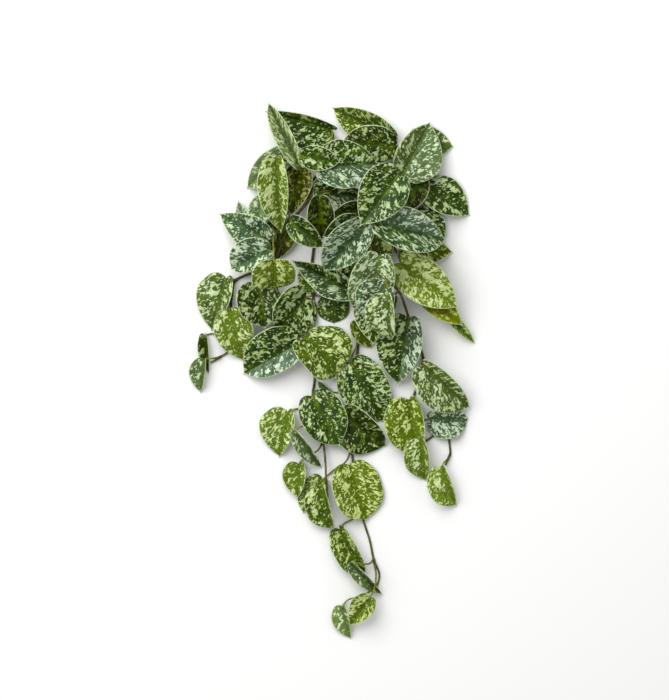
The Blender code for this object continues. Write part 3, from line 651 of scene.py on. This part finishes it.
def growLeaves(name, blades, materials):  # one mesh, whose points know their place and their leaf's look
    work = bmesh.new()
    layers = work.verts.layers
    place = layers.float_vector.new("leafPlace")
    kind = layers.float_vector.new("leafKind")
    streak = layers.float.new("leafStreak")
    ground = layers.float_color.new("leafGround")
    splash = layers.float_color.new("leafSplash")
    rows, columns = bladeForm["rows"], bladeForm["columns"]
    evenU = np.linspace(0, 1, rows + 1)
    evenV = np.linspace(-1, 1, columns + 1)
    crowding = bladeForm["rowCrowding"]
    u = (1 - 2 * crowding) * evenU + crowding * (1 - np.cos(math.pi * evenU))
    v = np.sign(evenV) * np.abs(evenV) ** bladeForm["columnCrowding"]
    for blade in blades:
        leaf = blade.leaf
        points, along, across, rim = blade.fine(*np.meshgrid(u, v, indexing="ij"))
        groundTone, splashTone = (linear(*tone) for tone in tones[leaf.tone])
        made = bmesh.ops.create_grid(work, x_segments=columns, y_segments=rows, size=1)["verts"]
        for vert in made:
            i = round((vert.co.y + 1) / 2 * rows)
            j = round((vert.co.x + 1) / 2 * columns)
            half = 0 if j < columns / 2 else 1
            vert.co = points[i, j] - planMiddle
            vert[place] = Vector((along[i, j], across[i, j], rim[i, j])) * 100  # centimetres
            # the leaf's cover, its pattern's shift, and how much painted sheen, a tint for light glancing
            # off it, this half carries
            vert[kind] = (leaf.cover, pattern["shift"] * blade.number, leaf.silver[half])
            vert[streak] = leaf.streak[half]
            vert[ground] = groundTone
            vert[splash] = splashTone
    bmesh.ops.remove_doubles(work, verts=work.verts, dist=bladeForm["weld"])
    obj = finishMesh(name, work, materials)
    wall = obj.modifiers.new("Thickness", "SOLIDIFY")
    wall.thickness = bladeForm["thickness"]
    wall.offset = 0
    wall.material_offset = 1
    return obj


pattern = {  # in centimetres of blade, with noise as cells per centimetre, detail and roughness
    "shift": 0.37,  # from one leaf to the next
    "otherHalf": 7.0,  # from one half of a leaf to the other
    "veinSlant": bladeForm["veinSlant"],
    "veinCurve": 0.07,
    "veinSpacing": bladeForm["veinSpacing"] * 100,
    "ribRoom": 0.02,
    "warp": (1.3, 2.0),
    "warpAlong": 0.7,
    "warpAway": 0.5,
    "warpMargin": 0.06,
    "patch": (1.1, 3.0, 0.55),
    "cluster": (0.7, 0.0),
    "clusterSeed": 1.7,
    "grain": (26.0, 2.0),
    # Ramps: from, to, and what they give there if not 0 and 1. From the midrib, and the next three
    # as a share of the way from it to the margin
    "nearRib": (0.50, 0.10),
    "clearOfRib": (0.08, 0.30),
    "clearOfMargin": (0.95, 0.50),
    "streaked": (0.30, 0.50),
    # Splashes: noise cells per centimetre along the midrib and away from it, the noise's detail and
    # roughness, the level that shows at no cover, and what lowers or raises it
    "blotch": {"cells": (1.5, 1.15), "seed": 0.0, "detail": 2.5, "roughness": 0.5,
               "edge": 0.035, "strength": 1.0, "level": 0.715,
               "pulls": {"cover": -0.17, "cluster": -0.12, "middle": -0.07, "rib": 0.09, "streaky": 0.13}},
    "spot": {"cells": (2.6, 2.1), "seed": 2.3, "detail": 1.0, "roughness": 0.4,
             "edge": 0.0455, "strength": 1.0, "level": 0.69,
             "pulls": {"cover": -0.12, "cluster": -0.12, "rib": 0.09, "streaky": 0.09}},
    "dot": {"cells": (4.4, 3.6), "seed": 3.1, "detail": 0.0, "roughness": 0.5,
            "edge": 0.056, "strength": 0.85, "level": 0.695,
            "pulls": {"cover": -0.10, "rib": 0.06, "margin": -0.05}},
    "streak": {"cells": (3.5, 0.95), "seed": 5.3, "detail": 1.0, "roughness": 0.5},
    "streakEdge": (0.54, 0.60),
    # The green, its young and deep patches, its painted sheen, and painted shade along the sunk side veins.
    # A shade is what the colour is multiplied by
    "freshPatch": (0.48, 0.70, 0.0, 0.55),
    "freshBase": (5.0, 0.5, 0.1, 0.3),
    "youngGreen": (92, 120, 12),
    "deepPatch": (0.52, 0.28, 0.0, 0.6),
    "deepShade": (0.35, 0.42, 0.3, 1.0),
    "veinLine": (-0.6, -1.0),
    "veinDepth": 0.35,
    # painted shade darkens the green in the side veins' valleys
    "paintedVeinShade": (0.55, 0.6, 0.5, 1.0),
    "paintedSheenPatch": (0.3, 0.65, 0.35, 0.9),
    "paintedSheenGround": (98, 122, 98),
    # the splashes, paler in a cluster, whitened where a half carries painted sheen, and mottled with the
    # green
    "palePart": (-0.05, 0.2),
    "paler": (1.15, 1.15, 1.35, 1.0),
    "paintedSheenSplash": (202, 216, 196),
    "mottled": (0.58, 0.36, 0.0, 0.35),
    # the midrib's groove, darkened by painted shade and the midrib's own darker green, and the pale margin
    "groove": (0.09, 0.02, 0.0, 0.45),
    "paintedGrooveShade": (0.45, 0.5, 0.35, 1.0),
    "paleMargin": (0.13, 0.06, 0.0, 0.85),
    "margin": (190, 206, 160),
    # how the surface stands and shines: the green, and what splashes, grain and side veins add
    "relief": 0.00012,
    "heights": (0.35, 0.35, -0.4),
    "satin": (0.36, 0.12, 0.06),
    "gloss": 0.08,
}


def bladePlace(graph):  # how far along, across, from the midrib and from the margin, and along which vein
    along, across, rim = graph.split(graph.attribute("leafPlace"))
    far = abs(across)
    vein = along - pattern["veinSlant"] * far + pattern["veinCurve"] * far * far
    return along, across, far, rim, vein


def satinLeaf():
    graph = Graph("satin_leaf")
    along, across, far, rim, vein = bladePlace(graph)
    cover, seed, silver = graph.split(graph.attribute("leafKind"))
    half = (across > 0) * pattern["otherHalf"] + seed
    warp = graph.noise(graph.join(along, far, half), *pattern["warp"]) - 0.5
    bent = vein + warp * pattern["warpAlong"]
    away = far - warp * pattern["warpAway"]
    out = far / (far + rim + pattern["ribRoom"])  # 0 at the midrib and 1 at the margin
    nearRib = graph.ramp(far, *pattern["nearRib"])
    middle = graph.ramp(out, *pattern["clearOfRib"]) * graph.ramp(out, *pattern["clearOfMargin"])
    streaky = graph.attribute("leafStreak", "Fac") * graph.ramp(out, *pattern["streaked"])
    cluster = graph.join(along, far, half + pattern["clusterSeed"])
    cluster = graph.noise(cluster, *pattern["cluster"]) - 0.5

    def cells(form):
        alongCells, awayCells = form["cells"]
        spot = graph.join(bent * alongCells, away * awayCells, half + form["seed"])
        return graph.noise(spot, 1.0, form["detail"], form["roughness"])

    # large ragged blotches in the middle of each half, then spots, dots, and streaks along the veins
    mask = graph.ramp(cells(pattern["streak"]), *pattern["streakEdge"]) * streaky
    places = {"cover": cover, "cluster": cluster, "middle": middle, "rib": nearRib, "streaky": streaky,
              "margin": out - 0.5}
    noises = {name: cells(pattern[name]) for name in ("blotch", "spot", "dot")}
    for name, found in noises.items():
        form = pattern[name]
        level = form["level"]
        for place, pull in form["pulls"].items():
            level = places[place] * pull + level
        shown = graph.ramp(found - level, 0.0, form["edge"]) * form["strength"]
        mask = mask.math("MAXIMUM", mask, shown)

    whole = graph.join(along, across, seed)
    patch = graph.noise(whole, *pattern["patch"])
    ground = graph.attribute("leafGround", "Color")
    fresh = graph.ramp(patch, *pattern["freshPatch"]) + nearRib * graph.ramp(along, *pattern["freshBase"])
    ground = graph.mix(fresh, ground, linear(*pattern["youngGreen"]))
    ground = graph.mix(graph.ramp(patch, *pattern["deepPatch"]), ground, pattern["deepShade"], "MULTIPLY")
    # painted shade: the green darkens along the side veins, which sink between the blade's quilted ridges
    veinLine = graph.ramp(veinWave(vein), *pattern["veinLine"])
    ground = graph.mix(veinLine * pattern["veinDepth"], ground, pattern["paintedVeinShade"], "MULTIPLY")
    # painted sheen: a pale grey-green tint over the green of each half, standing for light glancing off it
    paintedSheenShare = silver * graph.ramp(patch, *pattern["paintedSheenPatch"])
    ground = graph.mix(paintedSheenShare, ground, linear(*pattern["paintedSheenGround"]))
    splash = graph.attribute("leafSplash", "Color")
    splash = graph.mix(graph.ramp(cluster, *pattern["palePart"]), splash, pattern["paler"], "MULTIPLY")
    # painted sheen over the splashes too
    splash = graph.mix(silver, splash, linear(*pattern["paintedSheenSplash"]))
    splash = graph.mix(graph.ramp(noises["dot"], *pattern["mottled"]), splash, ground)
    colour = graph.mix(mask, ground, splash)
    # darker along the midrib: painted shade in its groove, with the midrib's own darker green
    colour = graph.mix(graph.ramp(far, *pattern["groove"]), colour, pattern["paintedGrooveShade"], "MULTIPLY")
    edge = graph.ramp(rim + warp * pattern["warpMargin"], *pattern["paleMargin"])
    colour = graph.mix(edge, colour, linear(*pattern["margin"]))
    grain = graph.noise(whole, *pattern["grain"])
    ofSplash, ofGrain, ofVein = pattern["heights"]
    height = mask * ofSplash + grain * ofGrain + veinLine * ofVein
    green, atSplash, atGrain = pattern["satin"]
    roughness = green + mask * atSplash + grain * atGrain
    return graph.finish(colour, roughness, graph.bump(height, pattern["relief"]), pattern["gloss"])


def veinWave(vein):  # -1 in each side vein and 1 between them
    return vein.math("COSINE", vein * (math.tau / pattern["veinSpacing"]))


underside = {
    "patch": (2.2, 3.0, 0.6),
    "veinWarp": 0.25,
    "bare": (150, 168, 122),
    "bareShare": 0.55,
    "greenPatch": (0.35, 0.7, 0.0, 0.5),
    "green": (122, 146, 92),
    "veinLine": (-0.5, -1.0),
    "veinPart": (0.35, 0.6, 0.05, 0.3),
    "midrib": (0.12, 0.04),
    "vein": (176, 188, 138),
    "relief": 0.0002,
    "heights": (0.8, 0.3),  # of the veins and of the patches
    "roughness": 0.55,
    "gloss": 0.2,
}


def leafUnderside():
    graph = Graph("leaf_underside")
    along, across, far, _, vein = bladePlace(graph)
    seed = graph.split(graph.attribute("leafKind"))[1]
    patch = graph.noise(graph.join(along, across, seed), *underside["patch"])
    wave = veinWave(vein + (patch - 0.5) * underside["veinWarp"])
    bare = linear(*underside["bare"])
    colour = graph.mix(underside["bareShare"], graph.attribute("leafGround", "Color"), bare)
    colour = graph.mix(graph.ramp(patch, *underside["greenPatch"]), colour, linear(*underside["green"]))
    line = graph.ramp(wave, *underside["veinLine"]) * graph.ramp(patch, *underside["veinPart"])
    line = line + graph.ramp(far, *underside["midrib"])
    colour = graph.mix(line.math("MINIMUM", line, 1.0), colour, linear(*underside["vein"]))
    ofVein, ofPatch = underside["heights"]
    bump = graph.bump(line * ofVein + patch * ofPatch, underside["relief"])
    return graph.finish(colour, underside["roughness"], bump, underside["gloss"])


stemForm = {
    "radii": (0.0020, 0.0013),
    "petioleRadii": (0.0014, 0.0009),
    "petioleEnd": 0.5,  # how far a petiole narrows at its last point, inside the blade
    "step": 0.0016,
    "nodeSwell": 0.28,  # how much thicker a vine is where a petiole leaves it
    "nodeReach": 0.0028,
    "sheath": 0.35,  # how much thicker a petiole is at its foot
    "sheathReach": 0.12,
    "vineAges": (0.0, 0.45),  # 0 is old bark and 1 is new green
    "petioleAges": (0.35, 1.0),
    "ageing": 1.5,
    "bevelSteps": 3,
    "weld": 0.00001,
    "coarse": (180.0, 3.0, 0.6),
    "fine": (900.0, 2.0, 0.6),
    "mottle": (0.35, 0.65),
    "barkBrown": (92, 86, 36),
    "barkDark": (54, 48, 16),
    "young": (132, 140, 40),
    "youngDark": (88, 96, 20),
    "ageSpread": 0.5,
    "turnsGreen": (0.3, 0.8),
    "heights": (0.6, 0.4),
    "relief": 0.0003,
    "roughness": (0.62, -0.2),  # and what age adds
    "gloss": 0.2,
}


def tube(work, line, radii, ages, bevelSteps):  # adds a closed tube along a line, with its age at each point
    curve = bpy.data.curves.new("guide", "CURVE")
    curve.dimensions = "3D"
    curve.bevel_depth = 1.0
    curve.bevel_resolution = bevelSteps
    curve.use_fill_caps = True
    spline = curve.splines.new("POLY")
    spline.points.add(len(line) - 1)
    for point, spot, radius in zip(spline.points, line, radii):
        point.co = (*spot, 1)
        point.radius = radius
    guide = bpy.data.objects.new("guide", curve)
    bpy.context.scene.collection.objects.link(guide)
    depsgraph = bpy.context.evaluated_depsgraph_get()
    mesh = bpy.data.meshes.new_from_object(guide.evaluated_get(depsgraph))
    bpy.data.objects.remove(guide)
    bpy.data.curves.remove(curve)
    before = len(work.verts)
    work.from_mesh(mesh)
    bpy.data.meshes.remove(mesh)
    work.verts.ensure_lookup_table()
    age = work.verts.layers.float["stemAge"]
    added = work.verts[before:]
    spots = np.array([vert.co for vert in added])
    nearest = ((spots[:, None] - line[None]) ** 2).sum(axis=2).argmin(axis=1)
    for vert, k in zip(added, nearest):
        vert[age] = ages[k]
        vert.co.z = max(vert.co.z, 0)  # a swollen node lies flat on the table


def newStem():
    work = bmesh.new()
    work.verts.layers.float.new("stemAge")
    return work


def weldStem(work):  # joins the tubes' caps to their sides
    bmesh.ops.remove_doubles(work, verts=work.verts, dist=stemForm["weld"])
    bmesh.ops.recalc_face_normals(work, faces=work.faces)


def growStems(name, vine, petioles, material):
    work = newStem()
    line = smoothLine(list(vine - planMiddle), stemForm["step"])
    radii = np.linspace(*stemForm["radii"], len(line))
    for petiole in petioles:
        near = np.linalg.norm(line - (petiole[0] - planMiddle), axis=1)
        radii = radii * (1 + stemForm["nodeSwell"] * np.exp(-(near / stemForm["nodeReach"]) ** 2))
    tube(work, line, radii, np.linspace(*stemForm["vineAges"], len(line)), stemForm["bevelSteps"])
    oldest, youngest = stemForm["petioleAges"]
    for petiole in petioles:
        line = smoothLine(list(petiole - planMiddle), stemForm["step"])
        t = np.linspace(0, 1, len(line))
        radii = np.linspace(*stemForm["petioleRadii"], len(line))
        radii = radii * (1 + stemForm["sheath"] * np.exp(-(t / stemForm["sheathReach"]) ** 2))
        radii[-1] *= stemForm["petioleEnd"]
        ages = oldest + (youngest - oldest) * t ** stemForm["ageing"]
        tube(work, line, radii, ages, stemForm["bevelSteps"])
    weldStem(work)
    return finishMesh(name, work, [material])


def vineBark():
    graph = Graph("vine_stem")
    spot = graph.place()
    age = graph.attribute("stemAge", "Fac")
    coarse = graph.noise(spot, *stemForm["coarse"])
    fine = graph.noise(spot, *stemForm["fine"])
    mottle = graph.ramp(coarse, *stemForm["mottle"])
    old = graph.mix(mottle, linear(*stemForm["barkDark"]), linear(*stemForm["barkBrown"]))
    fresh = graph.mix(mottle, linear(*stemForm["youngDark"]), linear(*stemForm["young"]))
    turned = graph.ramp(age + (fine - 0.5) * stemForm["ageSpread"], *stemForm["turnsGreen"])
    ofCoarse, ofFine = stemForm["heights"]
    bump = graph.bump(coarse * ofCoarse + fine * ofFine, stemForm["relief"])
    bark, green = stemForm["roughness"]
    return graph.finish(graph.mix(turned, old, fresh), bark + age * green, bump, stemForm["gloss"])


def growMainStem(top, materials):
    standing = (*mainStem["post"], top / mm + mainStem["aboveVines"])
    route = [np.array(p) * mm - planMiddle for p in (*mainStem["lying"], standing)]
    line = smoothLine(route, mainStem["step"])
    steps = np.linalg.norm(np.diff(line, axis=0), axis=1)
    run = np.concatenate([[0], np.cumsum(steps)])
    fromScar = run % mainStem["scarSpacing"] - mainStem["scarPlace"]
    scar = np.exp(-(fromScar / mainStem["scarWidth"]) ** 2)
    depth, rate = mainStem["ripple"]
    radii = mainStem["radius"] - mainStem["barkDepth"] + mainStem["scarHeight"] * scar
    radii = radii + depth * np.sin(run * rate)
    work = newStem()
    tube(work, line, radii, scar, mainStem["bevelSteps"])
    weldStem(work)
    for face in work.faces:
        if len(face.verts) > 4:
            face.material_index = 1
    return finishMesh("main_stem_bark", work, materials)


def woodyBark():
    graph = Graph("woody_bark")
    spot = graph.place()
    dark = linear(*mainStem["barkDark"])
    coarse = graph.noise(spot, *mainStem["coarse"])
    stretched = graph.add("ShaderNodeMapping", None, {"Vector": spot, "Scale": mainStem["fibres"]})
    fibre = graph.noise(stretched, 1.0)
    mottle = graph.ramp(coarse, *mainStem["mottle"])
    colour = graph.mix(mottle, dark, linear(*mainStem["barkLight"]))
    scar = graph.attribute("stemAge", "Fac")
    colour = graph.mix(scar * mainStem["scarShade"], colour, dark)
    ofCoarse, ofFibre = mainStem["heights"]
    bump = graph.bump(coarse * ofCoarse + fibre * ofFibre, mainStem["relief"])
    return graph.finish(colour, mainStem["barkRoughness"], bump)


def cutWood():
    graph = Graph("cut_wood")
    spot = graph.place()
    centre = tuple(np.array(mainStem["lying"][0]) * mm - planMiddle)
    away = graph.add("ShaderNodeVectorMath", {"operation": "DISTANCE"}, [spot, centre], "Value")
    wobble = graph.noise(spot, mainStem["wobbleScale"]) * mainStem["wobble"]
    rings = away * mainStem["ringsPerMetre"] + wobble
    rings = rings.math("SINE", rings)
    middle, depth = mainStem["ringShade"]
    colour = linear(*mainStem["cutWood"])
    colour = graph.mix(rings * depth + middle, colour, linear(*mainStem["cutRings"]))
    bump = graph.bump(rings, mainStem["ringRelief"])
    return graph.finish(colour, mainStem["cutRoughness"], bump)


def standFor(node, piece):  # the piece moves with the plant and takes the place of one node
    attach(piece, "root")
    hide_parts(node)


vines, top = layBunch()
print("bunch laid:", len(bunch) - len(vines), "leaves")

upper, under, bark = satinLeaf(), leafUnderside(), vineBark()
for vineName, (vine, leaves) in vines.items():
    blades, petioles = zip(*leaves)
    standFor(vineName, growLeaves(vineName + "_leaves", blades, [upper, under]))
    standFor(vineName, growStems(vineName + "_stems", vine, petioles, bark))
print("vines grown:", len(vines))

standFor("main_stem", growMainStem(top, [woodyBark(), cutWood()]))
print("main stem grown")

studio = {
    "floorSize": 14.0,
    "floorDrop": 0.0003,
    "floorColour": (0.82, 0.82, 0.81, 1.0),
    "floorCloud": (0.8, 0.8, 0.8, 1.0),
    "cloudScale": 3.0,
    "cloudShare": 0.1,
    "floorRelief": 0.0001,
    "floorRoughness": 0.85,
    "domeColour": (1.0, 1.0, 1.0, 1.0),
    "domeStrength": 0.62,
    "keyPower": 68.0,
    "keyPlace": (-0.9, 1.2, 1.9),
    "keyTarget": (0.0, 0.05, 0.0),
    "keySize": 2.2,
    "target": (0.0032, 0.02665, 0.04),  # what lies in the middle of the photo's frame
    "viewHeight": 0.905,  # how much of the table the camera takes in
    "lens": 250,
    "sensor": 36,
    "farthest": 100,
}


def setFloor():
    work = bmesh.new()
    bmesh.ops.create_grid(work, x_segments=1, y_segments=1, size=studio["floorSize"] / 2)
    graph = Graph("pale_floor")
    cloud = graph.noise(graph.place(), studio["cloudScale"])
    tint = graph.mix(cloud * studio["cloudShare"], studio["floorColour"], studio["floorCloud"])
    bump = graph.bump(cloud, studio["floorRelief"])
    floor = finishMesh("floor", work, [graph.finish(tint, studio["floorRoughness"], bump)])
    floor.location.z = -studio["floorDrop"]


def setLight():
    world = bpy.data.worlds.new("studio_dome")
    bpy.context.scene.world = world
    world.use_nodes = True
    background = world.node_tree.nodes["Background"]
    background.inputs["Color"].default_value = studio["domeColour"]
    background.inputs["Strength"].default_value = studio["domeStrength"]
    light = bpy.data.lights.new("key", "AREA")
    light.shape = "SQUARE"
    light.size = studio["keySize"]
    light.energy = studio["keyPower"]
    key = bpy.data.objects.new("key", light)
    key.location = studio["keyPlace"]
    toward = Vector(studio["keyTarget"]) - Vector(studio["keyPlace"])
    key.rotation_euler = toward.to_track_quat("-Z", "Y").to_euler()
    bpy.context.scene.collection.objects.link(key)


def setCamera():
    camera = bpy.data.cameras.new("camera")
    camera.sensor_fit = "VERTICAL"
    camera.sensor_height = studio["sensor"]
    camera.lens = studio["lens"]
    camera.clip_end = studio["farthest"]
    x, y, z = studio["target"]
    eye = bpy.data.objects.new("camera", camera)
    eye.location = (x, y, z + studio["viewHeight"] * studio["lens"] / studio["sensor"])
    bpy.context.scene.collection.objects.link(eye)
    bpy.context.scene.camera = eye
    bpy.context.scene.view_settings.view_transform = "Standard"


setFloor()
setLight()
setCamera()
print("studio set")
